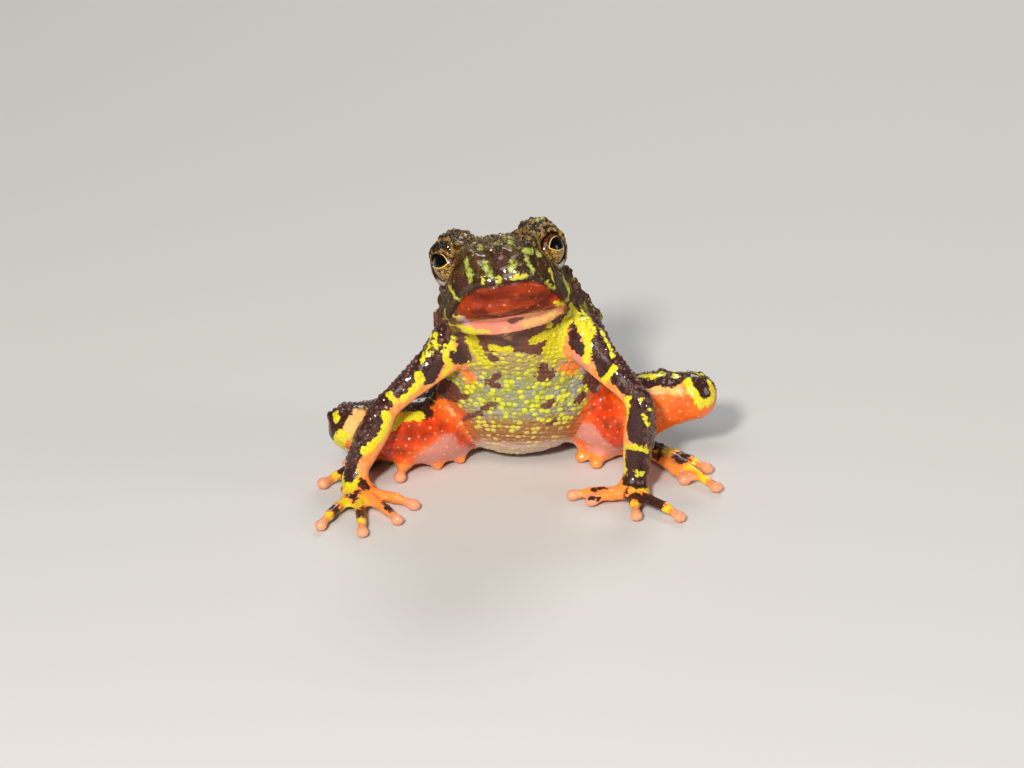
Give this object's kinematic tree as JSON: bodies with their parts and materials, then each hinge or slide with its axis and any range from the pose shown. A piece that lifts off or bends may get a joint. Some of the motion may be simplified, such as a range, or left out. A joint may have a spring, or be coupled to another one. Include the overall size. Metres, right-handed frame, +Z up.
{
  "type": "bleeding toad",
  "caption": "Life-size still model of a small warty toad sitting upright on folded hind legs, head raised and forelegs splayed.",
  "frame": {"origin": "middle of the model's footprint box, on the floor it sits on", "axes": "the toad faces -Y, its left side is +X, +Z is up"},
  "size_m": [0.03, 0.024, 0.0211],
  "materials": {
    "head": "moist warty skin with a wet gloss",
    "jaw": "moist warty skin with a wet gloss",
    "torso": "moist warty skin with a wet gloss",
    "eye": "clear wet cornea over a dark eye",
    "arm": "moist warty skin with a wet gloss",
    "hand": "moist warty skin with a wet gloss",
    "thigh": "moist warty skin with a wet gloss",
    "shank": "moist warty skin with a wet gloss",
    "foot": "moist warty skin with a wet gloss"
  },
  "bodies": {
    "root": {"eye_left": "eye", "eye_right": "eye", "foot_left": "foot", "foot_right": "foot", "forearm_left": "arm", "forearm_right": "arm", "hand_left": "hand", "hand_right": "hand", "head": "head", "lower_jaw": "jaw", "shank_left": "shank", "shank_right": "shank", "thigh_left": "thigh", "thigh_right": "thigh", "torso": "torso", "upper_arm_left": "arm", "upper_arm_right": "arm"}
  },
  "joints": []
}
